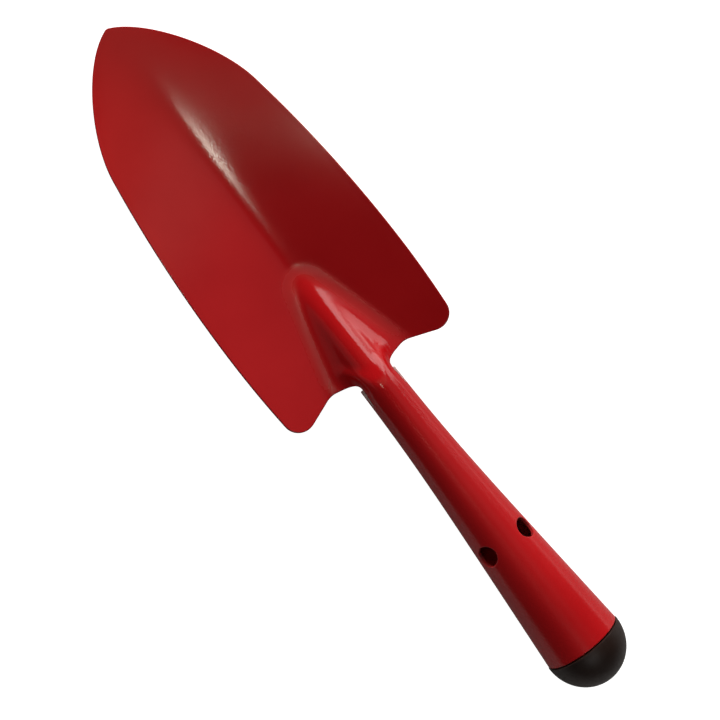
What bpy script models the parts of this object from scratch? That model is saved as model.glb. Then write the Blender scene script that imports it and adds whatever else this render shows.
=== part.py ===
"""Garden hand trowel pressed from one steel sheet, with a plastic end cap in the open end of its handle.

The trowel lies with its scoop facing up. +X points from the cap to the tip, +Z points up and the XZ plane is
its plane of symmetry. The origin is under the middle of the trowel, at the lowest level that it reaches.
"""
import math

import bmesh
import bpy
from mathutils import Vector
from mathutils.geometry import delaunay_2d_cdt

MM = 0.001

# Lengths along the trowel, in millimetres from the tip
CAP_CENTRE = 300.9
CAP_RADIUS = 16.0
TIP_X = (CAP_CENTRE + CAP_RADIUS) / 2.0
TUBE_END = 300.3

# Sheet
SHEET = 1.5
HALF_SHEET = SHEET / 2.0

# Blade
BLADE_HALF_WIDTH = 40.6
WIDEST = 136.0
SIDE_BOW = 0.00086
REAR_BOW = 0.0012
TIP_RADIUS = 2.5
TIP_HANDLE = (5.6, 15.4)
SHOULDER = 52.0
SHOULDER_HANDLE = 19.0
SIDE_END = 168.4
CORNER_RADIUS = 6.7
REAR_SLANT = math.radians(20.9)
REAR_FILLET = 8.4
WING_SLOPE = math.tan(math.radians(14.0))
SLOPE_LENGTH = 45.0
KEEL_ROUNDING = 4.0
TIP_ROUNDING = 5.0
ROUNDING_LENGTH = 40.0

# Ridge that rises from the keel into the neck
RIDGE_START = 119.3
RIDGE_SLOPE = 0.275
RIDGE_BEND = 4.7
RIDGE_SETTLED = 45.0
NOSE_RADIUS = 8.5
FOOT_SPREAD = 0.27
WIDEST_CROWN = 60.0

# Rolled handle
NECK_RADIUS = 7.37
FLARE = 0.079
FLARE_START = 203.8
FLARE_SOFTNESS = 15.0
NECK = 176.0
NECK_AXIS_HEIGHT = 8.4
AXIS_TILT = math.atan((CAP_RADIUS - NECK_AXIS_HEIGHT) / (CAP_CENTRE - NECK))
SEAM_GAP = 0.8
NECK_BLEND = 16.0
CREST_LAG = 8.0
CURL_INNER = 9.0
CURL_OUTER = 16.0

# Slit on each side of the neck, and the flap that closes the handle below it
SLIT_INNER = 8.95
SLIT_WIDTH = 0.8
SLIT_ROOT = 183.0
FLAP_TIP = 175.2
FLAP_TIP_ACROSS = 11.2
FLAP_SLANT = math.radians(35.0)
FLAP_TIP_RADIUS = 0.6
FLAP_CORNER = 2.0
PINCH = 0.6
PINCH_LENGTH = 10.0

# Hanging holes
HOLE_POSITION = 253.0
HOLE_ANGLE = math.radians(50.0)
HOLE_RADIUS = 4.0
HOLE_SIDES = 20

# End cap
CLEARANCE = 0.3
CAP_SIDES = 40
CAP_WALL = 2.0
CAP_EDGE = 0.4
CAP_DOME_STEPS = 12
BORE_STEPS = 8
PLUG_LENGTH = 17.0
PLUG_WALL = 1.6
PLUG_RELIEF = 0.7
PLUG_LEAD = 1.5
RIB_HALF_WIDTH = 1.0
RIB_POSITIONS = (4.0, 8.5, 13.0)

# Spacing of the surface points
COLUMN = 1.35
WING_COLUMN = 4.2
BLADE_ROW = 6.0
RIDGE_ROW = 2.8
TUBE_ROW = 7.2
SEAM_MARGIN = 0.8
FINE_MARGIN = 0.6
COARSE_MARGIN = 1.2
EDGE_STEP = 2.6
SIDE_STEP = 5.0
CORNER_STEP = 1.8
FINE_STEP = 1.1
TIP_ZONE = 30.0
SIDE_SAMPLES = 400
SLOPE_STEP = 0.01
SHARP_ANGLE = math.radians(38.0)


def smooth(value):
    """A step from 0 to 1 whose slope starts and ends level."""
    value = min(max(value, 0.0), 1.0)
    return value * value * (3.0 - 2.0 * value)


def smoother(value):
    """A step from 0 to 1 whose slope and bend start and end level."""
    value = min(max(value, 0.0), 1.0)
    return value ** 3 * (value * (6.0 * value - 15.0) + 10.0)


def tube_radius(along):
    """Radius of the middle of the handle's wall."""
    ahead = (along - FLARE_START) / FLARE_SOFTNESS
    grown = FLARE_SOFTNESS * (math.log1p(math.exp(-abs(ahead))) + max(ahead, 0.0))
    return NECK_RADIUS + FLARE * grown


def axis_height(along):
    """Height of the handle's axis."""
    return NECK_AXIS_HEIGHT + math.tan(AXIS_TILT) * (along - NECK)


def wing_slope(along):
    """Slope of the wings, nearly flat at the tip."""
    return WING_SLOPE * (1.0 - math.exp(-along / SLOPE_LENGTH))


def keel_rounding(along):
    """Half width of the round between the wings, wider towards the tip."""
    return KEEL_ROUNDING + TIP_ROUNDING * math.exp(-along / ROUNDING_LENGTH)


def trough(along, side):
    """Height of the blade above its keel, two wings joined by a round keel."""
    rounding = keel_rounding(along)
    return wing_slope(along) * (math.hypot(side, rounding) - rounding)


def ridge_foot(ahead):
    """Half width of the ridge on the blade, round at its nose, by the distance from its start."""
    nose = min(ahead / NOSE_RADIUS, 1.0)
    return NOSE_RADIUS * math.sqrt(nose * (2.0 - nose)) + FOOT_SPREAD * ahead


def ridge_section(along, side):
    """Height of the sheet above the keel: the blade, and the ridge that stands on it."""
    side = abs(side)
    ahead = along - RIDGE_START
    if ahead <= 0.0 or side >= ridge_foot(ahead):
        return trough(along, side)
    foot = ridge_foot(ahead)
    height = RIDGE_SLOPE * (math.hypot(ahead, RIDGE_BEND) - RIDGE_BEND)
    bell = min(foot * foot / (4.0 * height + SLOPE_STEP), WIDEST_CROWN)
    crown = bell + (tube_radius(along) - bell) * smooth(ahead / RIDGE_SETTLED)
    foot_slope = math.atan(wing_slope(along) * foot / math.hypot(foot, keel_rounding(along)))
    rise = math.sin(foot_slope)
    level = math.cos(foot_slope)
    drop = height - trough(along, foot)
    # The crown arc and the foot fillet meet at one slope, which solves p sin + q cos = r
    p = crown * (1.0 - level) - drop
    q = -(crown * rise + foot)
    r = -(crown * rise + foot * level - drop * rise)
    slope = math.atan2(p, q) - math.acos(min(max(r / math.hypot(p, q), -1.0), 1.0))
    slope = math.remainder(slope, 2.0 * math.pi)
    slope = min(max(slope, 0.0), math.pi / 2.0)
    if side <= crown * math.sin(slope):
        return height - crown + math.sqrt(crown * crown - side * side)
    fillet = (foot - crown * math.sin(slope)) / (math.sin(slope) + rise)
    centre_side = foot - fillet * rise
    centre_height = trough(along, foot) + fillet * level
    reach = fillet * fillet - (side - centre_side) ** 2
    return centre_height - math.sqrt(max(reach, 0.0))


def on_blade(along, across):
    """Point of the sheet's middle surface in the blade and its ridge."""
    return Vector((TIP_X - along, across, HALF_SHEET + ridge_section(along, across)))


def on_tube(along, across):
    """Point of the sheet's middle surface in the rolled handle."""
    angle = across / NECK_RADIUS
    radius = tube_radius(along)
    up = radius * math.cos(angle)
    return Vector((
        TIP_X - along + up * math.sin(AXIS_TILT),
        radius * math.sin(angle),
        axis_height(along) + up * math.cos(AXIS_TILT),
    ))


def slit_middle(along):
    """Place across the blank of the middle of the slit, which opens towards the blade."""
    opening = (FLAP_TIP_ACROSS - SLIT_INNER - SLIT_WIDTH) / (SLIT_ROOT - FLAP_TIP)
    return SLIT_INNER + (SLIT_WIDTH + opening * max(SLIT_ROOT - along, 0.0)) / 2.0


def flap_front(out):
    """Place along the blank of a line between the blade's rear edge and the front edge of the flap."""
    return FLAP_TIP + (out - FLAP_TIP_ACROSS - FLAP_TIP_RADIUS) / 2.0


def formed(along, across):
    """Point of the formed sheet, from its place along and across the flat blank."""
    out = abs(across)
    if out > slit_middle(along) and along > flap_front(out) and out < math.pi * NECK_RADIUS:
        return on_tube(along, across)
    # The crest becomes round later than the walls beside it
    round_from = NECK + CREST_LAG * (1.0 - smooth(out / SLIT_INNER))
    rolled = smoother((along - round_from + NECK_BLEND) / NECK_BLEND)
    rolled *= 1.0 - smoother((out - CURL_INNER) / (CURL_OUTER - CURL_INNER))
    if along > round_from:
        rolled = 1.0
    if rolled <= 0.0:
        return on_blade(along, across)
    # The wall above each slit is drawn in, so the flap stands out beside it
    drawn_in = PINCH * smooth((SLIT_ROOT - along) / PINCH_LENGTH) * smooth(out / SLIT_INNER)
    wall = on_tube(along, across)
    wall.y -= math.copysign(drawn_in, across)
    return on_blade(along, across).lerp(wall, rolled)


def sheet_normal(along, across):
    """Direction out of the sheet's upper face, which is also the outside of the handle."""
    forward = formed(along - SLOPE_STEP, across) - formed(along + SLOPE_STEP, across)
    sideways = formed(along, across + SLOPE_STEP) - formed(along, across - SLOPE_STEP)
    return forward.cross(sideways).normalized()


def arc_points(centre, radius, start, end, step):
    """Points on an arc, with both ends. Angles are from the +along direction towards +across."""
    count = max(2, math.ceil(abs(end - start) * radius / step))
    points = []
    for index in range(count + 1):
        angle = start + (end - start) * index / count
        points.append((centre[0] + radius * math.cos(angle), centre[1] + radius * math.sin(angle)))
    return points


def line_points(start, end, step):
    """Points on a straight line, without its ends."""
    length = math.dist(start, end)
    count = max(1, round(length / step))
    points = []
    for index in range(1, count):
        share = index / count
        points.append((start[0] + (end[0] - start[0]) * share, start[1] + (end[1] - start[1]) * share))
    return points


def spread(start, end, step):
    """Evenly spaced values from start to end, about one step apart."""
    count = max(1, round((end - start) / step))
    return [start + (end - start) * index / count for index in range(count + 1)]


def half_width(along):
    """Half width of the blade behind its shoulder, on a long bow on each side of its widest place."""
    bow = SIDE_BOW if along < WIDEST else REAR_BOW
    return BLADE_HALF_WIDTH - bow * (along - WIDEST) ** 2


def shoulder_curve(share, start):
    """Point on the curve from the tip to the shoulder, where it runs on into the bowed side."""
    lean = math.atan(2.0 * SIDE_BOW * (WIDEST - SHOULDER))
    end = (SHOULDER, half_width(SHOULDER))
    first = (start[0] + TIP_HANDLE[0], start[1] + TIP_HANDLE[1])
    second = (end[0] - SHOULDER_HANDLE * math.cos(lean), end[1] - SHOULDER_HANDLE * math.sin(lean))
    rest = 1.0 - share
    weights = (rest ** 3, 3.0 * rest * rest * share, 3.0 * rest * share * share, share ** 3)
    points = (start, first, second, end)
    return tuple(sum(weight * point[axis] for weight, point in zip(weights, points)) for axis in (0, 1))


def seam_across(along):
    """Place across the blank of the edge that closes on the seam under the handle."""
    return NECK_RADIUS * (math.pi - SEAM_GAP / 2.0 / tube_radius(along))


def blade_side():
    """Outline of one side of the blade, from the rounded tip to the end of the rear corner."""
    tip_angle = math.atan2(TIP_HANDLE[1], TIP_HANDLE[0])
    tip_centre = (TIP_RADIUS, 0.0)
    points = arc_points(tip_centre, TIP_RADIUS, math.pi, math.pi / 2.0 + tip_angle, FINE_STEP)[1:]
    # The two sides would meet in a point this far ahead of the rounded tip
    start = (TIP_RADIUS - TIP_RADIUS / math.sin(tip_angle), 0.0)
    shoulder = (SHOULDER, half_width(SHOULDER))
    for index in range(1, SIDE_SAMPLES):
        point = shoulder_curve(index / SIDE_SAMPLES, start)
        step = FINE_STEP + (EDGE_STEP - FINE_STEP) * min(max(point[0], 0.0) / TIP_ZONE, 1.0)
        onward = point[0] > points[-1][0] and point[1] > points[-1][1]
        if onward and min(math.dist(point, points[-1]), math.dist(point, shoulder)) >= step:
            points.append(point)
    for along in spread(SHOULDER, SIDE_END, SIDE_STEP)[:-1]:
        points.append((along, half_width(along)))
    lean = math.atan(2.0 * REAR_BOW * (SIDE_END - WIDEST))
    corner_along = SIDE_END - CORNER_RADIUS * math.sin(lean)
    corner = (corner_along, half_width(SIDE_END) - CORNER_RADIUS * math.cos(lean))
    return points + arc_points(corner, CORNER_RADIUS, math.pi / 2.0 - lean, -REAR_SLANT, CORNER_STEP)


def rear_edge(start):
    """Slanted rear edge of the blade and the fillet that turns it along the neck."""
    turn = math.pi - REAR_SLANT
    across = SLIT_INNER + REAR_FILLET
    inward = start[1] - across - REAR_FILLET * math.sin(turn)
    along = start[0] - inward * math.tan(REAR_SLANT) - REAR_FILLET * math.cos(turn)
    fillet = arc_points((along, across), REAR_FILLET, turn, 1.5 * math.pi, FINE_STEP)
    return line_points(start, fillet[0], EDGE_STEP) + fillet


def slit_and_flap(start):
    """Slit beside the neck, its round root, the flap's edge along it and the flap's slanted front edge."""
    slit_half = SLIT_WIDTH / 2.0
    root = (SLIT_ROOT - slit_half, SLIT_INNER + slit_half)
    points = line_points(start, (root[0], SLIT_INNER), FINE_STEP)
    points += arc_points(root, slit_half, -math.pi / 2.0, math.pi / 2.0, slit_half)
    # The two edges of the flap turn into each other at its round tip
    tip = (FLAP_TIP + FLAP_TIP_RADIUS, FLAP_TIP_ACROSS)
    widening = math.atan((tip[1] - FLAP_TIP_RADIUS - points[-1][1]) / (points[-1][0] - tip[0]))
    nose = arc_points(tip, FLAP_TIP_RADIUS, 1.5 * math.pi - widening, math.pi - FLAP_SLANT, FLAP_TIP_RADIUS)
    points += line_points(points[-1], nose[0], FINE_STEP) + nose
    start_along = tip[0] - FLAP_TIP_RADIUS / math.cos(FLAP_SLANT)
    seam = seam_across(start_along + (math.pi * NECK_RADIUS - tip[1]) * math.tan(FLAP_SLANT))
    centre_across = seam - FLAP_CORNER
    centre_along = start_along + (centre_across - tip[1]) * math.tan(FLAP_SLANT)
    centre_along += FLAP_CORNER / math.cos(FLAP_SLANT)
    centre = (centre_along, centre_across)
    corner = arc_points(centre, FLAP_CORNER, math.pi - FLAP_SLANT, math.pi / 2.0, FINE_STEP)
    return points + line_points(nose[-1], corner[0], FINE_STEP) + corner[:-1], centre_along


def half_outline():
    """Outline of the blank on its +across side, from the tip to the open end of the handle."""
    points = blade_side()
    points += rear_edge(points[-1])
    flap, seam_start = slit_and_flap(points[-1])
    points += flap
    for along in spread(seam_start, TUBE_END, TUBE_ROW):
        points.append((along, seam_across(along)))
    for across in spread(0.0, seam_across(TUBE_END), COLUMN)[-2:0:-1]:
        points.append((TUBE_END, across))
    return points


def blank_outline():
    """Closed outline of the whole blank."""
    half = half_outline()
    mirrored = [(along, -across) for along, across in reversed(half)]
    return [(0.0, 0.0)] + half + [(TUBE_END, 0.0)] + mirrored


def hole_outline(side):
    """Outline of one hanging hole in the blank, which is round once the handle is rolled."""
    squeeze = NECK_RADIUS / tube_radius(HOLE_POSITION)
    points = []
    for index in range(HOLE_SIDES):
        angle = 2.0 * math.pi * index / HOLE_SIDES
        across = side * NECK_RADIUS * HOLE_ANGLE + HOLE_RADIUS * squeeze * math.sin(angle)
        points.append((HOLE_POSITION + HOLE_RADIUS * math.cos(angle), across))
    return points


def inside(point, loop):
    """Whether a point lies inside a closed loop."""
    found = False
    for index, (x0, y0) in enumerate(loop):
        x1, y1 = loop[index - 1]
        if (y0 > point[1]) != (y1 > point[1]):
            crossing = x0 + (point[1] - y0) / (y1 - y0) * (x1 - x0)
            if point[0] < crossing:
                found = not found
    return found


def edge_distance(point, loop):
    """Distance from a point to a closed loop."""
    nearest = math.inf
    for index, (x0, y0) in enumerate(loop):
        x1, y1 = loop[index - 1]
        dx = x1 - x0
        dy = y1 - y0
        share = ((point[0] - x0) * dx + (point[1] - y0) * dy) / (dx * dx + dy * dy)
        share = min(max(share, 0.0), 1.0)
        nearest = min(nearest, math.hypot(point[0] - x0 - share * dx, point[1] - y0 - share * dy))
    return nearest


def inner_points(outline, holes):
    """Points inside the blank, in rows and columns that follow the formed sheet."""
    neck_end = NECK + CREST_LAG
    rows = spread(BLADE_ROW / 2.0, RIDGE_START - RIDGE_ROW, BLADE_ROW)
    rows += spread(RIDGE_START, neck_end, RIDGE_ROW)
    rows += spread(neck_end + TUBE_ROW / 2.0, TUBE_END - TUBE_ROW, TUBE_ROW)
    near = spread(0.0, math.pi * NECK_RADIUS - SEAM_MARGIN, COLUMN)
    far = spread(near[-1] + COLUMN * 2.0, BLADE_HALF_WIDTH, WING_COLUMN)
    points = []
    for row in rows:
        in_blade = row < RIDGE_START
        for index, across in enumerate(near + far):
            if in_blade and index % 2 == 1 and across < far[0]:
                continue
            margin = COARSE_MARGIN if in_blade or across > far[0] else FINE_MARGIN
            for side in (1.0, -1.0) if across > 0.0 else (1.0,):
                point = (row, side * across)
                if not inside(point, outline) or edge_distance(point, outline) < margin:
                    continue
                if any(inside(point, hole) or edge_distance(point, hole) < margin for hole in holes):
                    continue
                points.append(point)
    return points


def enclosed(faces, loops):
    """Triangles on the sheet's side of the loops, found by stepping from one to the next."""
    walls = set()
    for loop in loops:
        for index in range(len(loop)):
            walls.add(frozenset((loop[index - 1], loop[index])))
    owner = {}
    for index, face in enumerate(faces):
        for corner in range(3):
            owner[(face[corner - 1], face[corner])] = index
    outline = loops[0]
    waiting = []
    for index in range(len(outline)):
        waiting.append(owner.get((outline[index], outline[index - 1])))
    kept = set()
    while waiting:
        index = waiting.pop()
        if index is None or index in kept:
            continue
        kept.add(index)
        face = faces[index]
        for corner in range(3):
            edge = (face[corner - 1], face[corner])
            if frozenset(edge) not in walls:
                waiting.append(owner.get((edge[1], edge[0])))
    return [tuple(faces[index]) for index in sorted(kept)]


def blank_triangles():
    """Points and triangles that fill the blank, and its closed loops of points."""
    outline = blank_outline()
    holes = [hole_outline(1.0), hole_outline(-1.0)]
    points = []
    loops = []
    for loop in [outline] + holes:
        loops.append(list(range(len(points), len(points) + len(loop))))
        points += loop
    points += inner_points(outline, holes)
    edges = []
    for loop in loops:
        edges += [(loop[index - 1], loop[index]) for index in range(len(loop))]
    flat = [Vector(point) for point in points]
    found, _, faces, _, _, _ = delaunay_2d_cdt(flat, edges, [], 0, 1e-6)
    return [(point.x, point.y) for point in found], enclosed(faces, loops), loops


def material(name, color, roughness, metallic):
    """Plain material of one colour."""
    result = bpy.data.materials.new(name)
    result.use_nodes = True
    shader = result.node_tree.nodes["Principled BSDF"]
    shader.inputs["Base Color"].default_value = (*color, 1.0)
    shader.inputs["Roughness"].default_value = roughness
    shader.inputs["Metallic"].default_value = metallic
    result.diffuse_color = (*color, 1.0)
    return result


def add_object(name, bm, surface):
    """Object from a mesh in millimetres, scaled to metres."""
    bmesh.ops.scale(bm, vec=(MM, MM, MM), verts=bm.verts)
    bmesh.ops.recalc_face_normals(bm, faces=bm.faces)
    if bm.calc_volume(signed=True) < 0.0:
        bmesh.ops.reverse_faces(bm, faces=bm.faces)
    mesh = bpy.data.meshes.new(name)
    bm.to_mesh(mesh)
    bm.free()
    mesh.materials.append(surface)
    result = bpy.data.objects.new(name, mesh)
    bpy.context.scene.collection.objects.link(result)
    return result


def build_steel(surface):
    """The pressed sheet: blade, ridge, neck and rolled handle in one piece."""
    points, triangles, loops = blank_triangles()
    bm = bmesh.new()
    faces_of_sheet = []
    for side in (1.0, -1.0):
        layer = []
        for along, across in points:
            place = formed(along, across) + sheet_normal(along, across) * (HALF_SHEET * side)
            layer.append(bm.verts.new(place))
        faces_of_sheet.append(layer)
    upper, lower = faces_of_sheet
    for a, b, c in triangles:
        bm.faces.new((upper[a], upper[b], upper[c]))
        bm.faces.new((lower[c], lower[b], lower[a]))
    for loop in loops:
        for index in range(len(loop)):
            a = loop[index - 1]
            b = loop[index]
            bm.faces.new((upper[a], upper[b], lower[b], lower[a]))
    bmesh.ops.triangulate(bm, faces=[face for face in bm.faces if len(face.verts) == 4])
    result = add_object("trowel_body", bm, surface)
    for polygon in result.data.polygons:
        polygon.use_smooth = True
    result.data.set_sharp_from_angle(angle=SHARP_ANGLE)
    return result


def cap_profile():
    """Half section of the cap, as distances along its axis from the dome's centre and radii."""
    profile = []
    for index in range(CAP_DOME_STEPS):
        angle = math.pi / 2.0 * index / CAP_DOME_STEPS
        profile.append((CAP_RADIUS * math.cos(angle), CAP_RADIUS * math.sin(angle)))
    shoulder = TUBE_END + CLEARANCE - CAP_CENTRE
    profile.append((0.0, CAP_RADIUS))
    profile.append((shoulder + CAP_EDGE / 2.0, CAP_RADIUS))
    profile.append((shoulder, CAP_RADIUS - CAP_EDGE))
    bore = tube_radius(TUBE_END) - HALF_SHEET - CLEARANCE
    profile.append((shoulder, bore - PLUG_RELIEF))
    for position in RIB_POSITIONS:
        taper = tube_radius(TUBE_END) - tube_radius(TUBE_END - position - RIB_HALF_WIDTH)
        rib = bore - taper
        low = rib - PLUG_RELIEF
        profile.append((shoulder - position + RIB_HALF_WIDTH + PLUG_RELIEF, low))
        profile.append((shoulder - position + RIB_HALF_WIDTH, rib))
        profile.append((shoulder - position - RIB_HALF_WIDTH, rib))
        profile.append((shoulder - position - RIB_HALF_WIDTH - PLUG_RELIEF, low))
    front = tube_radius(TUBE_END - PLUG_LENGTH) - HALF_SHEET - CLEARANCE - PLUG_RELIEF
    profile.append((shoulder - PLUG_LENGTH + PLUG_LEAD, front))
    profile.append((shoulder - PLUG_LENGTH, front - PLUG_LEAD / 2.0))
    profile.append((shoulder - PLUG_LENGTH, front - PLUG_WALL))
    bore_radius = front - PLUG_WALL
    bore_end = CAP_RADIUS - CAP_WALL - bore_radius
    for index in range(BORE_STEPS):
        angle = math.pi / 2.0 * index / BORE_STEPS
        profile.append((bore_end + bore_radius * math.sin(angle), bore_radius * math.cos(angle)))
    profile.append((bore_end + bore_radius, 0.0))
    return profile


def build_cap(surface):
    """Domed cap with a hollow ribbed plug, turned about the handle's axis."""
    centre = Vector((TIP_X - CAP_CENTRE, 0.0, axis_height(CAP_CENTRE)))
    outward = Vector((-math.cos(AXIS_TILT), 0.0, math.sin(AXIS_TILT)))
    up = Vector((math.sin(AXIS_TILT), 0.0, math.cos(AXIS_TILT)))
    side = Vector((0.0, 1.0, 0.0))
    bm = bmesh.new()
    rings = []
    for distance, radius in cap_profile():
        middle = centre + outward * distance
        if radius == 0.0:
            rings.append([bm.verts.new(middle)])
            continue
        ring = []
        for index in range(CAP_SIDES):
            angle = 2.0 * math.pi * index / CAP_SIDES
            around = up * math.cos(angle) + side * math.sin(angle)
            ring.append(bm.verts.new(middle + radius * around))
        rings.append(ring)
    for first, second in zip(rings, rings[1:]):
        for index in range(CAP_SIDES):
            after = (index + 1) % CAP_SIDES
            if len(first) == 1:
                bm.faces.new((first[0], second[after], second[index]))
            elif len(second) == 1:
                bm.faces.new((first[index], first[after], second[0]))
            else:
                bm.faces.new((first[index], first[after], second[after], second[index]))
    bmesh.ops.triangulate(bm, faces=[face for face in bm.faces if len(face.verts) == 4])
    result = add_object("end_cap", bm, surface)
    for polygon in result.data.polygons:
        polygon.use_smooth = True
    result.data.set_sharp_from_angle(angle=SHARP_ANGLE)
    return result


def main():
    for item in list(bpy.data.objects):
        bpy.data.objects.remove(item, do_unlink=True)
    build_steel(material("red_coated_steel", (0.42, 0.012, 0.014), 0.3, 0.0))
    build_cap(material("black_plastic", (0.02, 0.018, 0.016), 0.45, 0.0))


main()
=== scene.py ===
"""Looks of the garden hand trowel: a finer sheet and end cap, their finishes, floor, light and camera.

Shapes are worked out in millimetres, along the trowel from its tip and across the flat blank, and then
formed: the blade is pressed into two wings with a ridge between them, and the handle is rolled to a seam.
"""
import math

import bpy
import numpy as np
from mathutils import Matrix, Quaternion, Vector
from mathutils.geometry import delaunay_2d_cdt


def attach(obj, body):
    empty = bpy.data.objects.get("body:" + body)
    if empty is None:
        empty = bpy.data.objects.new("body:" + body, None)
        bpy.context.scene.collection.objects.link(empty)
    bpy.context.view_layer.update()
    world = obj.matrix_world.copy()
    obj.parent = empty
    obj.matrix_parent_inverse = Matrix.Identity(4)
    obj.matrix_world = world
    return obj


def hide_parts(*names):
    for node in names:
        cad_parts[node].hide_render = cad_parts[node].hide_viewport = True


MM = 0.001

# Lengths along the trowel, in millimetres from the tip
CAP_CENTRE = 300.9
CAP_RADIUS = 16.0
TIP_X = (CAP_CENTRE + CAP_RADIUS) / 2.0
TUBE_END = 300.3

# Sheet
SHEET = 1.5
HALF_SHEET = SHEET / 2.0
EDGE_RADIUS = 0.4

# Blade
BLADE_HALF_WIDTH = 40.6
WIDEST = 136.0
SIDE_BOW = 0.00086
REAR_BOW = 0.0012
TIP_RADIUS = 2.5
TIP_HANDLE = (5.6, 15.4)
SHOULDER = 52.0
SHOULDER_HANDLE = 19.0
SIDE_END = 168.4
CORNER_RADIUS = 6.7
REAR_SLANT = math.radians(20.9)
REAR_FILLET = 8.4
WING_SLOPE = math.tan(math.radians(14.0))
SLOPE_LENGTH = 45.0
KEEL_ROUNDING = 4.0
TIP_ROUNDING = 5.0
ROUNDING_LENGTH = 40.0

# Ridge that rises from the keel into the neck
RIDGE_START = 119.3
RIDGE_SLOPE = 0.275
RIDGE_BEND = 4.7
RIDGE_SETTLED = 45.0
NOSE_RADIUS = 8.5
FOOT_SPREAD = 0.27
WIDEST_CROWN = 60.0

# Rolled handle
NECK_RADIUS = 7.37
FLARE = 0.079
FLARE_START = 203.8
FLARE_SOFTNESS = 15.0
NECK = 176.0
NECK_AXIS_HEIGHT = 8.4
AXIS_TILT = math.atan((CAP_RADIUS - NECK_AXIS_HEIGHT) / (CAP_CENTRE - NECK))
SEAM_GAP = 0.8
NECK_BLEND = 16.0
CREST_LAG = 8.0
CURL_INNER = 9.0
CURL_OUTER = 16.0

# Slit on each side of the neck, and the flap that closes the handle below it
SLIT_INNER = 8.95
SLIT_WIDTH = 0.8
SLIT_ROOT = 183.0
FLAP_TIP = 175.2
FLAP_TIP_ACROSS = 11.2
FLAP_SLANT = math.radians(35.0)
FLAP_TIP_RADIUS = 0.6
FLAP_CORNER = 2.0
PINCH = 0.6
PINCH_LENGTH = 10.0

# Hanging holes
HOLE_POSITION = 253.0
HOLE_ANGLE = math.radians(50.0)
HOLE_RADIUS = 4.0
HOLE_SIDES = 56

# End cap
CLEARANCE = 0.3
CAP_SIDES = 120
CAP_WALL = 2.0
CAP_EDGE = 0.5
CAP_EDGE_STEPS = 6
CAP_EDGE_TOP = -0.001
CAP_DOME_STEPS = 40
CAP_BORE_STEPS = 12
CAP_SHARP_ANGLE = math.radians(35.0)
PLUG_LENGTH = 17.0
PLUG_WALL = 1.6
PLUG_RELIEF = 0.7
PLUG_LEAD = 1.5
RIB_HALF_WIDTH = 1.0
RIB_POSITIONS = (4.0, 8.5, 13.0)

# Spacing of the surface points
COLUMN = 0.95
KEEL_COLUMN = 1.5
WING_COLUMN = 3.4
BLADE_ROW = 2.8
RIDGE_ROW = 1.0
TUBE_ROW = 2.6
EDGE_STEP = 1.4
TIP_STEP = 0.5
CORNER_STEP = 0.6
SLIT_STEP = 0.35
ROOT_STEP = 0.15
FINE_END = 192.0
TIP_ZONE = 30.0
SIDE_SAMPLES = 1200
EDGE_RINGS = 4
EDGE_MARGIN = 0.75
MERGE_DISTANCE = 0.000001
SLOPE_STEP = 0.01

# Where the coat is duller: in the hollow at the ridge's foot, and from the neck on
HOLLOW_INSET = 3.8
HOLLOW_REACH = 5.4
GRIP_START = 176.0
GRIP_SETTLED = 205.0

# Red coat. A pair is the two ends between which a noise moves
COAT_COLORS = ((0.41, 0.0040, 0.0060, 1.0), (0.45, 0.0060, 0.0080, 1.0))
COAT_ROUGHNESS = (0.11, 0.14)
COAT_IOR = 1.5
COAT_GRAIN = 0.14
# Painted shade: the sheet's rim is made darker, in patches
RIM_SHADE_COLOR = (0.16, 0.030, 0.030, 1.0)
# Painted highlights: the nibs are made pale, on top of their bumps
NIB_HIGHLIGHT_COLOR = (0.5, 0.22, 0.2, 1.0)
NIB_HIGHLIGHT_COVER = 0.5
NIB_LIMIT = 0.975
NIB_RELIEF = 0.5
# Painted highlight: the flap's cut edge beside the slit is made pale
CUT_EDGE_HIGHLIGHT_COLOR = (0.62, 0.52, 0.50, 1.0)
CUT_EDGE_HIGHLIGHT_COVER = 0.9
HOLLOW_DULLNESS = 0.25
GRIP_DULLNESS = 0.11

# Black plastic
PLASTIC_COLORS = ((0.013, 0.0055, 0.0035, 1.0), (0.018, 0.0075, 0.005, 1.0))
PLASTIC_ROUGHNESS = (0.40, 0.52)
PLASTIC_GRAIN = 0.2

# Both finishes: height of the bumps in metres, and the range that a noise mostly stays in
BUMP_HEIGHT = 0.0001
NOISE_SPAN = (0.3, 0.7)
WHITE = (1.0, 1.0, 1.0, 1.0)

# Camera, fitted to the photograph, with its place in metres and its turn in radians
FOCAL_MM = 50.0
SENSOR_MM = 36.0
CAMERA_PLACE = (-0.01336, 0.03519, 0.39293)
CAMERA_TURN = (0.0677, -0.0603, -2.2277)
CLIP_START = 0.01

# Floor, in metres, and the light that it and the room give
FLOOR_DEPTH = 0.0003
FLOOR_SIZE = 6.0
FLOOR_COLORS = ((0.58, 0.58, 0.58, 1.0), (0.60, 0.60, 0.60, 1.0))
FLOOR_ROUGHNESS = 0.9
FLOOR_GLOW = 1.0
ROOM_LIGHT = 0.03
BACKDROP_LIGHT = 1.0

# Lights, with their distance in metres
PANEL_DISTANCE = 4.0
WINDOW_TINT = (1.0, 0.97, 0.95)
LAMP_TINT = (0.95, 1.0, 0.82)
HAZE_TINT = (1.0, 0.88, 0.66)


def smooth(value):
    """A step from 0 to 1 whose slope starts and ends level."""
    value = np.clip(value, 0.0, 1.0)
    return value * value * (3.0 - 2.0 * value)


def smoother(value):
    """A step from 0 to 1 whose slope and bend start and end level."""
    value = np.clip(value, 0.0, 1.0)
    return value ** 3 * (value * (6.0 * value - 15.0) + 10.0)


def tube_radius(along):
    """Radius of the middle of the handle's wall."""
    ahead = (along - FLARE_START) / FLARE_SOFTNESS
    grown = FLARE_SOFTNESS * (np.log1p(np.exp(-np.abs(ahead))) + np.maximum(ahead, 0.0))
    return NECK_RADIUS + FLARE * grown


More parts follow.
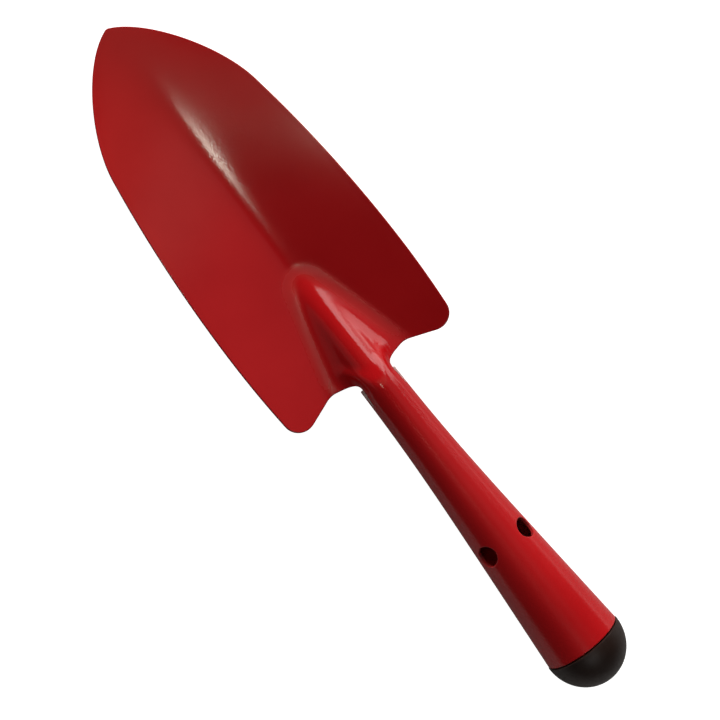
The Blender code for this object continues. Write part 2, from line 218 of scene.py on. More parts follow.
def axis_height(along):
    """Height of the handle's axis."""
    return NECK_AXIS_HEIGHT + math.tan(AXIS_TILT) * (along - NECK)


def wing_slope(along):
    """Slope of the wings, nearly flat at the tip."""
    return WING_SLOPE * (1.0 - np.exp(-along / SLOPE_LENGTH))


def keel_rounding(along):
    """Half width of the round between the wings, wider towards the tip."""
    return KEEL_ROUNDING + TIP_ROUNDING * np.exp(-along / ROUNDING_LENGTH)


def trough(along, side):
    """Height of the blade above its keel, two wings joined by a round keel."""
    rounding = keel_rounding(along)
    return wing_slope(along) * (np.hypot(side, rounding) - rounding)


def ridge_foot(ahead):
    """Half width of the ridge on the blade, round at its nose, by the distance from its start."""
    nose = np.clip(ahead / NOSE_RADIUS, 0.0, 1.0)
    return NOSE_RADIUS * np.sqrt(nose * (2.0 - nose)) + FOOT_SPREAD * ahead


def ridge_section(along, across):
    """Height of the sheet above the keel: the blade, and the ridge that stands on it."""
    side = np.abs(across)
    ahead = np.maximum(along - RIDGE_START, 0.0)
    on_ridge = (ahead > 0.0) & (side < ridge_foot(ahead))
    ahead = np.where(on_ridge, ahead, RIDGE_BEND)
    foot = ridge_foot(ahead)
    height = RIDGE_SLOPE * (np.hypot(ahead, RIDGE_BEND) - RIDGE_BEND)
    bell = np.minimum(foot * foot / (4.0 * height + SLOPE_STEP), WIDEST_CROWN)
    settled = smooth(ahead / RIDGE_SETTLED)
    crown = bell + (tube_radius(along) - bell) * settled
    foot_slope = np.arctan(wing_slope(along) * foot / np.hypot(foot, keel_rounding(along)))
    rise = np.sin(foot_slope)
    level = np.cos(foot_slope)
    drop = height - trough(along, foot)
    # The crown arc and the foot fillet meet at one slope, which solves p sin + q cos = r
    p = crown * (1.0 - level) - drop
    q = -(crown * rise + foot)
    r = -(crown * rise + foot * level - drop * rise)
    slope = np.arctan2(p, q) - np.arccos(np.clip(r / np.hypot(p, q), -1.0, 1.0))
    slope = np.remainder(slope + math.pi, 2.0 * math.pi) - math.pi
    slope = np.clip(slope, 0.0, math.pi / 2.0)
    crest = height - crown + np.sqrt(np.maximum(crown * crown - side * side, 0.0))
    fillet = (foot - crown * np.sin(slope)) / (np.sin(slope) + rise)
    centre_side = foot - fillet * rise
    centre_height = trough(along, foot) + fillet * level
    flank = centre_height - np.sqrt(np.maximum(fillet * fillet - (side - centre_side) ** 2, 0.0))
    raised = np.where(side <= crown * np.sin(slope), crest, flank)
    return np.where(on_ridge, raised, trough(along, side))


def on_blade(along, across):
    """Points of the sheet's middle surface in the blade and its ridge."""
    return np.stack((TIP_X - along, across, HALF_SHEET + ridge_section(along, across)), axis=-1)


def on_tube(along, across):
    """Points of the sheet's middle surface in the rolled handle."""
    angle = across / NECK_RADIUS
    radius = tube_radius(along)
    up = radius * np.cos(angle)
    x = TIP_X - along + up * math.sin(AXIS_TILT)
    return np.stack((x, radius * np.sin(angle), axis_height(along) + up * math.cos(AXIS_TILT)), axis=-1)


def slit_middle(along):
    """Place across the blank of the middle of the slit, which opens towards the blade."""
    opening = (FLAP_TIP_ACROSS - SLIT_INNER - SLIT_WIDTH) / (SLIT_ROOT - FLAP_TIP)
    return SLIT_INNER + (SLIT_WIDTH + opening * np.maximum(SLIT_ROOT - along, 0.0)) / 2.0


def flap_front(out):
    """Place along the blank of a line between the blade's rear edge and the front edge of the flap."""
    return FLAP_TIP + (out - FLAP_TIP_ACROSS - FLAP_TIP_RADIUS) / 2.0


def formed(along, across):
    """Points of the formed sheet, from their places along and across the flat blank."""
    out = np.abs(across)
    on_flap = (out > slit_middle(along)) & (along > flap_front(out)) & (out < math.pi * NECK_RADIUS)
    # The crest becomes round later than the walls beside it
    round_from = NECK + CREST_LAG * (1.0 - smooth(out / SLIT_INNER))
    rolled = smoother((along - round_from + NECK_BLEND) / NECK_BLEND)
    rolled = rolled * (1.0 - smoother((out - CURL_INNER) / (CURL_OUTER - CURL_INNER)))
    rolled = np.where(on_flap | (along > round_from), 1.0, rolled)[..., None]
    # The wall above each slit is drawn in, so the flap stands out beside it
    drawn_in = PINCH * smooth((SLIT_ROOT - along) / PINCH_LENGTH) * smooth(out / SLIT_INNER)
    inward = np.zeros(np.shape(drawn_in) + (3,))
    inward[..., 1] = np.where(on_flap, 0.0, -np.sign(across) * drawn_in)
    return on_blade(along, across) * (1.0 - rolled) + (on_tube(along, across) + inward) * rolled


def unit(vectors):
    """The same directions with length 1."""
    return vectors / np.linalg.norm(vectors, axis=-1, keepdims=True)


def sheet_normal(along, across):
    """Directions out of the sheet's upper face, which is also the outside of the handle."""
    forward = formed(along - SLOPE_STEP, across) - formed(along + SLOPE_STEP, across)
    sideways = formed(along, across + SLOPE_STEP) - formed(along, across - SLOPE_STEP)
    return unit(np.cross(forward, sideways))


def arc_points(centre, radius, start, end, step):
    """Points on an arc, with both ends. Angles are from the +along direction towards +across."""
    count = max(2, math.ceil(abs(end - start) * radius / step))
    points = []
    for index in range(count + 1):
        angle = start + (end - start) * index / count
        points.append((centre[0] + radius * math.cos(angle), centre[1] + radius * math.sin(angle)))
    return points


def line_points(start, end, step):
    """Points on a straight line, without its ends."""
    count = max(1, round(math.dist(start, end) / step))
    points = []
    for index in range(1, count):
        share = index / count
        points.append((start[0] + (end[0] - start[0]) * share, start[1] + (end[1] - start[1]) * share))
    return points


def spread(start, end, step):
    """Evenly spaced values from start to end, about one step apart."""
    count = max(1, round((end - start) / step))
    return [start + (end - start) * index / count for index in range(count + 1)]


def half_width(along):
    """Half width of the blade behind its shoulder, on a long bow on each side of its widest place."""
    bow = SIDE_BOW if along < WIDEST else REAR_BOW
    return BLADE_HALF_WIDTH - bow * (along - WIDEST) ** 2


def shoulder_curve(share, start):
    """Point on the curve from the tip to the shoulder, where it runs on into the bowed side."""
    lean = math.atan(2.0 * SIDE_BOW * (WIDEST - SHOULDER))
    end = (SHOULDER, half_width(SHOULDER))
    first = (start[0] + TIP_HANDLE[0], start[1] + TIP_HANDLE[1])
    second = (end[0] - SHOULDER_HANDLE * math.cos(lean), end[1] - SHOULDER_HANDLE * math.sin(lean))
    rest = 1.0 - share
    weights = (rest ** 3, 3.0 * rest * rest * share, 3.0 * rest * share * share, share ** 3)
    points = (start, first, second, end)
    return tuple(sum(weight * point[axis] for weight, point in zip(weights, points)) for axis in (0, 1))


def seam_across(along):
    """Place across the blank of the edge that closes on the seam under the handle."""
    return NECK_RADIUS * (math.pi - SEAM_GAP / 2.0 / tube_radius(along))


def blade_side():
    """Outline of one side of the blade, from the rounded tip to the end of the rear corner."""
    tip_angle = math.atan2(TIP_HANDLE[1], TIP_HANDLE[0])
    tip_centre = (TIP_RADIUS, 0.0)
    points = arc_points(tip_centre, TIP_RADIUS, math.pi, math.pi / 2.0 + tip_angle, TIP_STEP)[1:]
    # The two sides would meet in a point this far ahead of the rounded tip
    start = (TIP_RADIUS - TIP_RADIUS / math.sin(tip_angle), 0.0)
    for index in range(1, SIDE_SAMPLES):
        point = shoulder_curve(index / SIDE_SAMPLES, start)
        step = TIP_STEP + (EDGE_STEP - TIP_STEP) * min(max(point[0], 0.0) / TIP_ZONE, 1.0)
        if point[1] > points[-1][1] and point[0] > points[-1][0] and math.dist(point, points[-1]) >= step:
            points.append(point)
    for along in spread(SHOULDER, SIDE_END, EDGE_STEP)[:-1]:
        points.append((along, half_width(along)))
    lean = math.atan(2.0 * REAR_BOW * (SIDE_END - WIDEST))
    corner_along = SIDE_END - CORNER_RADIUS * math.sin(lean)
    corner = (corner_along, half_width(SIDE_END) - CORNER_RADIUS * math.cos(lean))
    return points + arc_points(corner, CORNER_RADIUS, math.pi / 2.0 - lean, -REAR_SLANT, CORNER_STEP)


def rear_edge(start):
    """Slanted rear edge of the blade and the fillet that turns it along the neck."""
    turn = math.pi - REAR_SLANT
    across = SLIT_INNER + REAR_FILLET
    inward = start[1] - across - REAR_FILLET * math.sin(turn)
    along = start[0] - inward * math.tan(REAR_SLANT) - REAR_FILLET * math.cos(turn)
    fillet = arc_points((along, across), REAR_FILLET, turn, 1.5 * math.pi, CORNER_STEP)
    return line_points(start, fillet[0], EDGE_STEP) + fillet


def slit_and_flap(start):
    """Outline of the slit beside the neck and of the flap below it, and where the seam starts."""
    slit_half = SLIT_WIDTH / 2.0
    root = (SLIT_ROOT - slit_half, SLIT_INNER + slit_half)
    points = line_points(start, (root[0], SLIT_INNER), SLIT_STEP)
    points += arc_points(root, slit_half, -math.pi / 2.0, math.pi / 2.0, ROOT_STEP)
    # The two edges of the flap turn into each other at its round tip
    tip = (FLAP_TIP + FLAP_TIP_RADIUS, FLAP_TIP_ACROSS)
    widening = math.atan((tip[1] - FLAP_TIP_RADIUS - points[-1][1]) / (points[-1][0] - tip[0]))
    nose = arc_points(tip, FLAP_TIP_RADIUS, 1.5 * math.pi - widening, math.pi - FLAP_SLANT, ROOT_STEP)
    points += line_points(points[-1], nose[0], SLIT_STEP) + nose
    slant = math.tan(FLAP_SLANT)
    level = math.cos(FLAP_SLANT)
    start_along = tip[0] - FLAP_TIP_RADIUS / level
    across = seam_across(start_along + (math.pi * NECK_RADIUS - tip[1]) * slant) - FLAP_CORNER
    along = start_along + (across - tip[1]) * slant + FLAP_CORNER / level
    corner = arc_points((along, across), FLAP_CORNER, math.pi - FLAP_SLANT, math.pi / 2.0, SLIT_STEP)
    return points + line_points(nose[-1], corner[0], CORNER_STEP) + corner[:-1], along


def half_outline():
    """Outline of the blank on its +across side, from the tip to the open end of the handle."""
    points = blade_side()
    points += rear_edge(points[-1])
    flap, seam_start = slit_and_flap(points[-1])
    points += flap
    for along in spread(seam_start, TUBE_END, EDGE_STEP):
        points.append((along, seam_across(along)))
    for across in spread(0.0, seam_across(TUBE_END), COLUMN / 2.0)[-2:0:-1]:
        points.append((TUBE_END, across))
    return points


def blank_outline():
    """Closed outline of the whole blank."""
    half = half_outline()
    mirrored = [(along, -across) for along, across in reversed(half)]
    return [(0.0, 0.0)] + half + [(TUBE_END, 0.0)] + mirrored


def hole_outline(side):
    """Outline of one hanging hole in the blank, which is round once the handle is rolled."""
    squeeze = NECK_RADIUS / tube_radius(HOLE_POSITION)
    points = []
    for index in range(HOLE_SIDES):
        angle = 2.0 * math.pi * index / HOLE_SIDES
        across = side * NECK_RADIUS * HOLE_ANGLE + HOLE_RADIUS * squeeze * math.sin(angle)
        points.append((HOLE_POSITION + HOLE_RADIUS * math.cos(angle), across))
    return points


def clear_of(points, loop, margin):
    """Which points are further than the margin from a closed loop."""
    ends = np.array(loop)
    starts = np.roll(ends, 1, axis=0)
    steps = ends - starts
    lengths = (steps * steps).sum(axis=1)
    nearest = np.full(len(points), np.inf)
    for start, step, length in zip(starts, steps, lengths):
        share = np.clip(((points - start) @ step) / length, 0.0, 1.0)
        gap = np.linalg.norm(points - start - share[:, None] * step, axis=1)
        nearest = np.minimum(nearest, gap)
    return nearest > margin


def within(points, loop):
    """Which points are inside a closed loop."""
    ends = np.array(loop)
    starts = np.roll(ends, 1, axis=0)
    found = np.zeros(len(points), bool)
    for (x0, y0), (x1, y1) in zip(starts, ends):
        if y0 == y1:
            continue
        crosses = (y0 > points[:, 1]) != (y1 > points[:, 1])
        crossing = x0 + (points[:, 1] - y0) / (y1 - y0) * (x1 - x0)
        found ^= crosses & (points[:, 0] < crossing)
    return found


def inner_points(outline, holes):
    """Points inside the blank, in rows and columns that follow the formed sheet."""
    seam = math.pi * NECK_RADIUS - COLUMN / 2.0
    fine = spread(0.0, seam, COLUMN)
    coarse = spread(0.0, seam, KEEL_COLUMN)
    wing = spread(seam + WING_COLUMN, BLADE_HALF_WIDTH, WING_COLUMN)
    zones = (
        (spread(BLADE_ROW / 2.0, RIDGE_START - RIDGE_ROW, BLADE_ROW), coarse + wing),
        (spread(RIDGE_START, FINE_END, RIDGE_ROW), fine),
        (spread(RIDGE_START, FINE_END, BLADE_ROW), wing),
        (spread(FINE_END + TUBE_ROW, TUBE_END - TUBE_ROW, TUBE_ROW), fine),
    )
    points = []
    for rows, columns in zones:
        for row in rows:
            for column in columns:
                points.append((row, column))
                if column > 0.0:
                    points.append((row, -column))
    points = np.array(points)
    kept = within(points, outline) & clear_of(points, outline, EDGE_MARGIN)
    for hole in holes:
        kept &= ~within(points, hole) & clear_of(points, hole, EDGE_MARGIN)
    return [tuple(point) for point in points[kept].tolist()]


def enclosed(faces, loops):
    """Triangles on the sheet's side of the loops, found by stepping from one to the next."""
    walls = set()
    for loop in loops:
        for index in range(len(loop)):
            walls.add(frozenset((loop[index - 1], loop[index])))
    owner = {}
    for index, face in enumerate(faces):
        for corner in range(3):
            owner[(face[corner - 1], face[corner])] = index
    outline = loops[0]
    waiting = []
    for index in range(len(outline)):
        waiting.append(owner.get((outline[index], outline[index - 1])))
    kept = set()
    while waiting:
        index = waiting.pop()
        if index is None or index in kept:
            continue
        kept.add(index)
        face = faces[index]
        for corner in range(3):
            edge = (face[corner - 1], face[corner])
            if frozenset(edge) not in walls:
                waiting.append(owner.get((edge[1], edge[0])))
    return [tuple(faces[index]) for index in sorted(kept)]


def blank_triangles():
    """Points and triangles that fill the blank, and its closed loops of points."""
    outline = blank_outline()
    holes = [hole_outline(1.0), hole_outline(-1.0)]
    points = []
    loops = []
    for loop in [outline] + holes:
        loops.append(list(range(len(points), len(points) + len(loop))))
        points += loop
    points += inner_points(outline, holes)
    edges = []
    for loop in loops:
        edges += [(loop[index - 1], loop[index]) for index in range(len(loop))]
    flat = [Vector(point) for point in points]
    found, _, faces, _, _, _ = delaunay_2d_cdt(flat, edges, [], 0, MERGE_DISTANCE)
    return np.array([(point.x, point.y) for point in found]), enclosed(faces, loops), loops


def add_object(name, data):
    """New object in the scene, at the origin."""
    result = bpy.data.objects.new(name, data)
    bpy.context.scene.collection.objects.link(result)
    return result


def smooth_object(name, places, faces):
    """Smoothly shaded object from places in millimetres and faces."""
    mesh = bpy.data.meshes.new(name)
    mesh.from_pydata((places * MM).tolist(), [], faces)
    mesh.shade_smooth()
    return add_object(name, mesh)


def ridge_hollow(along, across):
    """How near points are to the hollow at the ridge's foot, from 0 to 1."""
    ahead = np.maximum(along - RIDGE_START, 0.0)
    before = np.maximum(RIDGE_START + NOSE_RADIUS - along, 0.0)
    beyond = np.hypot(before, across) - NOSE_RADIUS - FOOT_SPREAD * ahead
    near = 1.0 - smooth(np.abs(beyond + HOLLOW_INSET) / HOLLOW_REACH)
    return near * smooth((NECK - along) / NECK_BLEND)


def mark_points(piece, name, values):
    """Store one number for each point of the mesh, for its material."""
    attribute = piece.data.attributes.new(name, "FLOAT", "POINT")
    attribute.data.foreach_set("value", values)


def flap_edge(along, across):
    """Which points of the outline are on the flap's cut edge beside the slit."""
    out = np.abs(across)
    beside = (out > slit_middle(along)) & (out < FLAP_TIP_ACROSS + FLAP_TIP_RADIUS)
    return beside & (along < SLIT_ROOT) & (along > FLAP_TIP)


def rim_rings(middle, normal):
    """Rings of places and directions round the sheet's edge along one loop, from its upper to its lower face.

    Each ring also has a number that is 0 on the faces and 1 on the flat of the rim between them.
    """
    tangent = unit(np.roll(middle, -1, axis=0) - np.roll(middle, 1, axis=0))
    outward = unit(np.cross(tangent, normal))
    turns = np.linspace(math.pi / 2.0, 0.0, EDGE_RINGS + 1)
    rings = []
    for side in (1.0, -1.0):
        for turn in turns if side > 0.0 else turns[::-1]:
            inset = EDGE_RADIUS * (math.cos(turn) - 1.0)
            up = side * (HALF_SHEET - EDGE_RADIUS + EDGE_RADIUS * math.sin(turn))
            facing = outward * math.cos(turn) + normal * (side * math.sin(turn))
            rings.append((middle + outward * inset + normal * up, facing, math.cos(turn)))
    return rings


def build_sheet():
    """The pressed sheet with its two faces, joined all round by a rim with rounded edges."""
    flat, triangles, loops = blank_triangles()
    along, across = flat.T
    middle = formed(along, across)
    normal = sheet_normal(along, across)
    count = len(flat)
    places = [middle + normal * HALF_SHEET, middle - normal * HALF_SHEET]
    normals = [normal, -normal]
    rims = [np.zeros(count), np.zeros(count)]
    # Where a painted highlight goes, on the flap's cut edge beside the slit
    cut_edge_highlight = [np.zeros(count), np.zeros(count)]
    faces = []
    for a, b, c in triangles:
        faces.append((a, c, b))
        faces.append((count + a, count + b, count + c))
    first_free = 2 * count
    for loop in loops:
        size = len(loop)
        cut = flap_edge(along[loop], across[loop])
        rings = rim_rings(middle[loop], normal[loop])
        places[0][loop] = rings[0][0]
        places[1][loop] = rings[-1][0]
        numbers = [list(loop)]
        for place, facing, rim in rings[1:-1]:
            places.append(place)
            normals.append(facing)
            rims.append(np.full(size, rim))
            cut_edge_highlight.append(np.where(cut, rim, 0.0))
            numbers.append(list(range(first_free, first_free + size)))
            first_free += size
        numbers.append([count + index for index in loop])
        for upper, lower in zip(numbers, numbers[1:]):
            for index in range(size):
                faces.append((upper[index], upper[index - 1], lower[index - 1], lower[index]))
    piece = smooth_object("pressed_sheet", np.concatenate(places), faces)
    piece.data.normals_split_custom_set_from_vertices(np.concatenate(normals).tolist())
    hollow = np.zeros(first_free)
    hollow[:count] = ridge_hollow(along, across)
    mark_points(piece, "rim", np.concatenate(rims))
    mark_points(piece, "cut_edge_highlight", np.concatenate(cut_edge_highlight))
    mark_points(piece, "hollow", hollow)
    return piece


def cap_profile():
    """Half section of the cap, as distances along its axis from the dome's centre and radii."""
    profile = []
    for index in range(CAP_DOME_STEPS):
        angle = math.pi / 2.0 * index / CAP_DOME_STEPS
        profile.append((CAP_RADIUS * math.cos(angle), CAP_RADIUS * math.sin(angle)))
    shoulder = TUBE_END + CLEARANCE - CAP_CENTRE
    profile.append((0.0, CAP_RADIUS))
    # The rounded edge stays just below the dome
    for index in range(CAP_EDGE_STEPS + 1):
        angle = math.pi / 2.0 * index / CAP_EDGE_STEPS
        distance = shoulder + CAP_EDGE * (1.0 - math.sin(angle))
        profile.append((min(distance, CAP_EDGE_TOP), CAP_RADIUS - CAP_EDGE * (1.0 - math.cos(angle))))
    outer = tube_radius(TUBE_END) - HALF_SHEET - CLEARANCE
    profile.append((shoulder, outer - PLUG_RELIEF))
    for position in RIB_POSITIONS:
        taper = tube_radius(TUBE_END) - tube_radius(TUBE_END - position - RIB_HALF_WIDTH)
        rib = outer - taper
        low = rib - PLUG_RELIEF
        profile.append((shoulder - position + RIB_HALF_WIDTH + PLUG_RELIEF, low))
        profile.append((shoulder - position + RIB_HALF_WIDTH, rib))
        profile.append((shoulder - position - RIB_HALF_WIDTH, rib))
        profile.append((shoulder - position - RIB_HALF_WIDTH - PLUG_RELIEF, low))
    front = tube_radius(TUBE_END - PLUG_LENGTH) - HALF_SHEET - CLEARANCE - PLUG_RELIEF
    profile.append((shoulder - PLUG_LENGTH + PLUG_LEAD, front))
    profile.append((shoulder - PLUG_LENGTH, front - PLUG_LEAD / 2.0))
    bore = front - PLUG_WALL
    bore_end = CAP_RADIUS - CAP_WALL - bore
    profile.append((shoulder - PLUG_LENGTH, bore))
    for index in range(CAP_BORE_STEPS):
        angle = math.pi / 2.0 * index / CAP_BORE_STEPS
        profile.append((bore_end + bore * math.sin(angle), bore * math.cos(angle)))
    profile.append((bore_end + bore, 0.0))
    return profile


def turned(profile, name):
    """Closed body turned from a half section about the handle's axis."""
    centre = np.array((TIP_X - CAP_CENTRE, 0.0, axis_height(CAP_CENTRE)))
    outward = np.array((-math.cos(AXIS_TILT), 0.0, math.sin(AXIS_TILT)))
    up = np.array((math.sin(AXIS_TILT), 0.0, math.cos(AXIS_TILT)))
    side = np.array((0.0, 1.0, 0.0))
    places = []
    rings = []
    for distance, radius in profile:
        middle = centre + outward * distance
        if radius == 0.0:
            rings.append([len(places)])
            places.append(middle)
            continue
        rings.append(list(range(len(places), len(places) + CAP_SIDES)))
        for index in range(CAP_SIDES):
            angle = 2.0 * math.pi * index / CAP_SIDES
            places.append(middle + up * (radius * math.cos(angle)) + side * (radius * math.sin(angle)))
    faces = []
    for first, second in zip(rings, rings[1:]):
        for index in range(CAP_SIDES):
            after = (index + 1) % CAP_SIDES
            if len(first) == 1:
                faces.append((first[0], second[index], second[after]))
            elif len(second) == 1:
                faces.append((first[after], first[index], second[0]))
            else:
                faces.append((first[index], second[index], second[after], first[after]))
    piece = smooth_object(name, np.array(places), faces)
    piece.data.set_sharp_from_angle(angle=CAP_SHARP_ANGLE)
    return piece


class Nodes:
    """Short calls that build a material's nodes."""

    def __init__(self, name):
        self.material = bpy.data.materials.new(name)
        self.material.use_nodes = True
        self.tree = self.material.node_tree
        self.shader = self.tree.nodes["Principled BSDF"]
        self.coordinates = self.tree.nodes.new("ShaderNodeTexCoord").outputs["Object"]

    def feed(self, socket, value):
        """Link an output to a socket, or set the socket to a number or colour."""
        if isinstance(value, bpy.types.NodeSocket):
            self.tree.links.new(value, socket)
        else:
            socket.default_value = value

    def plug(self, name, value):
        """Feed one of the shader's own sockets."""
        self.feed(self.shader.inputs[name], value)

    def add(self, kind, inputs, **settings):
        """New node, with its settings and what feeds its inputs."""
        node = self.tree.nodes.new(kind)
        for name, value in settings.items():
            setattr(node, name, value)
        for name, value in inputs.items():
            self.feed(node.inputs[name], value)
        return node

    def noise(self, scale, detail=2.0):
        """Noise in the object's space. The scale is in features per metre."""
        inputs = {"Vector": self.coordinates, "Scale": scale, "Detail": detail}
        return self.add("ShaderNodeTexNoise", inputs).outputs["Fac"]

    def cells(self, scale):
        """Outputs of cells scattered through the object's space. The scale is in cells per metre."""
        return self.add("ShaderNodeTexVoronoi", {"Vector": self.coordinates, "Scale": scale}).outputs

    def ranged(self, value, low, high, to_low=0.0, to_high=1.0):
        """Value between low and high, brought between the other two and held there."""
        inputs = {"Value": value, "From Min": low, "From Max": high, "To Min": to_low, "To Max": to_high}
        return self.add("ShaderNodeMapRange", inputs).outputs["Result"]

    def math(self, operation, first, second):
        """Result of one operation on two values."""
        return self.add("ShaderNodeMath", {0: first, 1: second}, operation=operation).outputs[0]

    def mix(self, factor, first, second):
        """First colour where the factor is 0, and the second one where it is 1."""
        inputs = {0: factor, 6: first, 7: second}
        return self.add("ShaderNodeMix", inputs, data_type="RGBA").outputs[2]

    def mark(self, name):
        """Number that is stored on the points of the mesh."""
        return self.add("ShaderNodeAttribute", {}, attribute_name=name).outputs["Fac"]

    def bump(self, height, strength, under=None):
        """Normals of small bumps, on top of those under them if there are any."""
        inputs = {"Height": height, "Strength": strength, "Distance": BUMP_HEIGHT}
        if under is not None:
            inputs["Normal"] = under
        return self.add("ShaderNodeBump", inputs).outputs["Normal"]


def coat_nibs(nodes):
    """Specks in the coat: 1 at the heart of the few cells whose random shade passes a limit."""
    cells = nodes.cells(scale=95.0)
    shade = nodes.add("ShaderNodeSeparateColor", {"Color": cells["Color"]}).outputs[0]
    chosen = nodes.math("GREATER_THAN", shade, NIB_LIMIT)
    heart = nodes.ranged(cells["Distance"], low=0.03, high=0.06, to_low=1.0, to_high=0.0)
    return nodes.math("MULTIPLY", chosen, heart)


def coat_color(nodes, nib):
    """Red that changes slowly in depth, with painted shade that darkens the rim and pale painted highlights
    on nibs and on the flap's cut edge.
    """
    cloud = nodes.ranged(nodes.noise(scale=26.0, detail=3.0), low=0.35, high=0.65)
    color = nodes.mix(cloud, *COAT_COLORS)
    patches = nodes.ranged(nodes.noise(scale=420.0), low=0.4, high=0.6, to_low=0.3, to_high=0.8)
    # Painted shade on the sheet's rim, in patches
    painted_rim_shade = nodes.math("MULTIPLY", nodes.math("POWER", nodes.mark("rim"), 2.0), patches)
    color = nodes.mix(painted_rim_shade, color, RIM_SHADE_COLOR)
    # Painted highlights on the nibs
    color = nodes.mix(nodes.math("MULTIPLY", nib, NIB_HIGHLIGHT_COVER), color, NIB_HIGHLIGHT_COLOR)
    # Painted highlight on the flap's cut edge
    cut_edge_highlight = nodes.ranged(nodes.mark("cut_edge_highlight"), low=0.6, high=0.9, to_high=CUT_EDGE_HIGHLIGHT_COVER)
    return nodes.mix(cut_edge_highlight, color, CUT_EDGE_HIGHLIGHT_COLOR)


def coat_roughness(nodes):
    """Glossy, and duller in the hollow round the ridge and on the grip, which the hand rubs."""
    gloss = nodes.ranged(nodes.noise(scale=700.0, detail=3.0), *NOISE_SPAN, *COAT_ROUGHNESS)
    hollow = nodes.math("MULTIPLY", nodes.mark("hollow"), HOLLOW_DULLNESS)
    place = nodes.add("ShaderNodeSeparateXYZ", {"Vector": nodes.coordinates}).outputs["X"]
    start = (TIP_X - GRIP_START) * MM
    settled = (TIP_X - GRIP_SETTLED) * MM
    grip = nodes.ranged(place, low=start, high=settled, to_high=GRIP_DULLNESS)
    return nodes.math("ADD", gloss, nodes.math("ADD", hollow, grip))


def red_coat():
    """Glossy red powder coat with a fine grain and a few nibs."""
    nodes = Nodes("red_coat")
    nib = coat_nibs(nodes)
    grain = nodes.bump(nodes.cells(scale=1100.0)["Distance"], COAT_GRAIN)
    nodes.plug("Base Color", coat_color(nodes, nib))
    nodes.plug("Roughness", coat_roughness(nodes))
    nodes.plug("Normal", nodes.bump(nib, NIB_RELIEF, grain))
    nodes.plug("IOR", COAT_IOR)
    return nodes.material


def black_plastic():
    """Satin black moulded plastic with a fine grain and faint rubbed patches."""
    nodes = Nodes("black_plastic")
    rubbed = nodes.ranged(nodes.noise(scale=60.0, detail=4.0), low=0.45, high=0.7)
    satin = nodes.ranged(nodes.noise(scale=900.0, detail=3.0), *NOISE_SPAN, *PLASTIC_ROUGHNESS)
    nodes.plug("Base Color", nodes.mix(rubbed, *PLASTIC_COLORS))
    nodes.plug("Roughness", satin)
    nodes.plug("Normal", nodes.bump(nodes.noise(scale=2600.0), PLASTIC_GRAIN))
    return nodes.material


def pale_floor():
    """Pale grey that glows white for the camera, as the photograph's background does."""
    nodes = Nodes("pale_floor")
    tone = nodes.ranged(nodes.noise(scale=4.0), *NOISE_SPAN)
    path = nodes.add("ShaderNodeLightPath", {}).outputs
    nodes.plug("Base Color", nodes.mix(tone, *FLOOR_COLORS))
    nodes.plug("Roughness", FLOOR_ROUGHNESS)
    nodes.plug("Emission Color", WHITE)
    nodes.plug("Emission Strength", nodes.math("MULTIPLY", path["Is Camera Ray"], FLOOR_GLOW))
    # Clear from below and for the lights, so that the trowel's underside can be seen and lit
    below = nodes.add("ShaderNodeNewGeometry", {}).outputs["Backfacing"]
    clear = nodes.math("MAXIMUM", below, path["Is Shadow Ray"])
    nodes.plug("Alpha", nodes.math("SUBTRACT", 1.0, clear))
    return nodes.material


def build_floor():
    """Plain floor just under the trowel."""
    half = FLOOR_SIZE / 2.0
    corners = [(-half, -half, 0.0), (half, -half, 0.0), (half, half, 0.0), (-half, half, 0.0)]
    mesh = bpy.data.meshes.new("floor")
    mesh.from_pydata(corners, [], [(0, 1, 2, 3)])
    mesh.materials.append(pale_floor())
    floor = add_object("floor", mesh)
    floor.location.z = -FLOOR_DEPTH


def soft_panel(name, radiance, azimuth, elevation, width, height, roll=0.0, tint=WINDOW_TINT):
    """Rectangular light that faces the trowel, with all its angles in degrees.

    The azimuth turns from the tip's side towards +Y, the roll is about the light's own direction, and the
    width and height are how large the light looks from the trowel.
    """
    light = bpy.data.lights.new(name, "AREA")
    light.shape = "RECTANGLE"
    light.size = 2.0 * PANEL_DISTANCE * math.tan(math.radians(width / 2.0))
    light.size_y = 2.0 * PANEL_DISTANCE * math.tan(math.radians(height / 2.0))
    light.energy = radiance * math.pi * light.size * light.size_y
    light.color = tint
    turn = math.radians(azimuth)
    level = math.cos(math.radians(elevation))
    up = math.sin(math.radians(elevation))
    place = PANEL_DISTANCE * Vector((math.cos(turn) * level, math.sin(turn) * level, up))
    facing = (-place).to_track_quat("-Z", "Y") @ Quaternion((0.0, 0.0, 1.0), math.radians(roll))
    panel = add_object(name, light)
    panel.location = place
    panel.rotation_euler = facing.to_euler()
    return panel


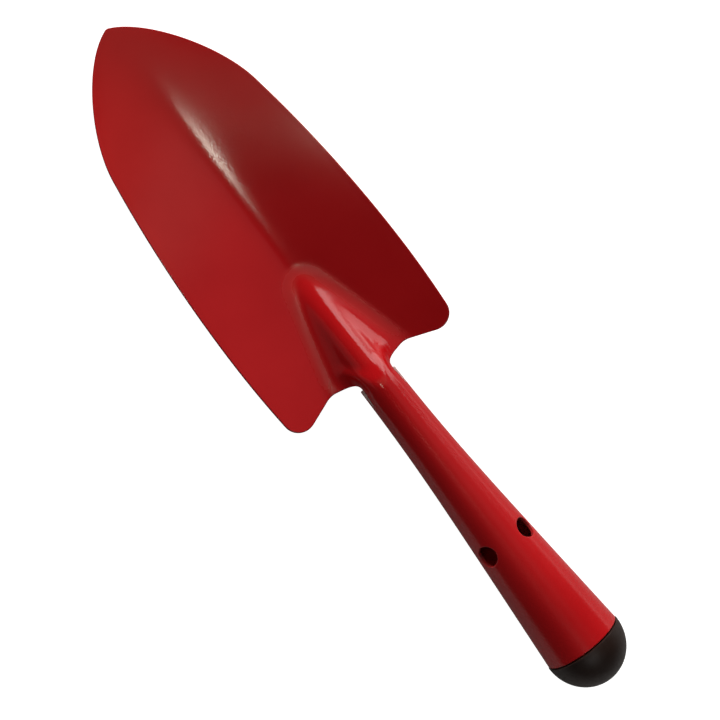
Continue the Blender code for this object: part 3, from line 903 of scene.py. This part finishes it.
def build_lights():
    """Fills that no reflection shows, then the windows, haze and lamp that the coat mirrors."""
    fills = (
        soft_panel("low_window", 38.0, azimuth=328.0, elevation=11.0, width=42.0, height=8.0),
        soft_panel("front_panel", 6.6, azimuth=4.0, elevation=6.0, width=30.0, height=12.0),
        soft_panel("back_panel", 5.8, azimuth=180.0, elevation=8.0, width=22.0, height=16.0),
        soft_panel("under_fill", 1.3, azimuth=200.0, elevation=-55.0, width=50.0, height=50.0),
    )
    # The low ones would be glaring mirror images in the coat from the sides and from behind
    for fill in fills:
        fill.visible_glossy = False
    soft_panel("front_window", 3.6, azimuth=309.0, elevation=27.0, width=18.7, height=39.0, roll=-20.0)
    soft_panel("side_window", 2.3, azimuth=285.0, elevation=19.0, width=16.4, height=32.5, roll=-5.0)
    soft_panel("side_strip", 0.9, azimuth=270.0, elevation=4.0, width=60.0, height=8.0)
    soft_panel("left_fill", 0.1, azimuth=57.0, elevation=32.0, width=30.0, height=32.0)
    soft_panel("back_high", 1.1, azimuth=165.0, elevation=62.0, width=25.0, height=30.0)
    soft_panel("haze", 0.28, azimuth=336.0, elevation=65.4, width=15.0, height=40.0, roll=-63.9,
               tint=HAZE_TINT)
    soft_panel("high_haze", 0.17, azimuth=292.0, elevation=58.0, width=24.0, height=36.0)
    soft_panel("lamp", 24.0, azimuth=21.6, elevation=72.0, width=6.5, height=2.4, tint=LAMP_TINT)


def build_room():
    """Dim room round the trowel, which the camera sees as a white backdrop."""
    world = bpy.data.worlds.new("room")
    world.use_nodes = True
    tree = world.node_tree
    background = tree.nodes["Background"]
    seen = tree.nodes.new("ShaderNodeLightPath")
    strength = tree.nodes.new("ShaderNodeMapRange")
    strength.inputs["To Min"].default_value = ROOM_LIGHT
    strength.inputs["To Max"].default_value = BACKDROP_LIGHT
    tree.links.new(seen.outputs["Is Camera Ray"], strength.inputs["Value"])
    tree.links.new(strength.outputs["Result"], background.inputs["Strength"])
    background.inputs["Color"].default_value = WHITE
    bpy.context.scene.world = world


def build_camera():
    """Camera at the photograph's viewing angle."""
    data = bpy.data.cameras.new("camera")
    data.lens = FOCAL_MM
    data.sensor_width = SENSOR_MM
    data.clip_start = CLIP_START
    camera = add_object("camera", data)
    camera.location = CAMERA_PLACE
    camera.rotation_euler = CAMERA_TURN
    bpy.context.scene.camera = camera


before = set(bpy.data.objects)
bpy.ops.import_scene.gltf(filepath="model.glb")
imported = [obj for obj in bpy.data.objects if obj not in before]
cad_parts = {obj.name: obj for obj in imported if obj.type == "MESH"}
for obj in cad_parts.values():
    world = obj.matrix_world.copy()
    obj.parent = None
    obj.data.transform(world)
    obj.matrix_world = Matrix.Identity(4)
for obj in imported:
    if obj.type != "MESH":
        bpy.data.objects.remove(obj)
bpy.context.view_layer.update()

steel = build_sheet()
steel.data.materials.append(red_coat())
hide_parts("trowel_body")
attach(steel, "root")

cap = turned(cap_profile(), "moulded_cap")
cap.data.materials.append(black_plastic())
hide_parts("end_cap")
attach(cap, "root")

build_floor()
build_lights()
build_room()
build_camera()
bpy.context.scene.view_settings.view_transform = "Standard"
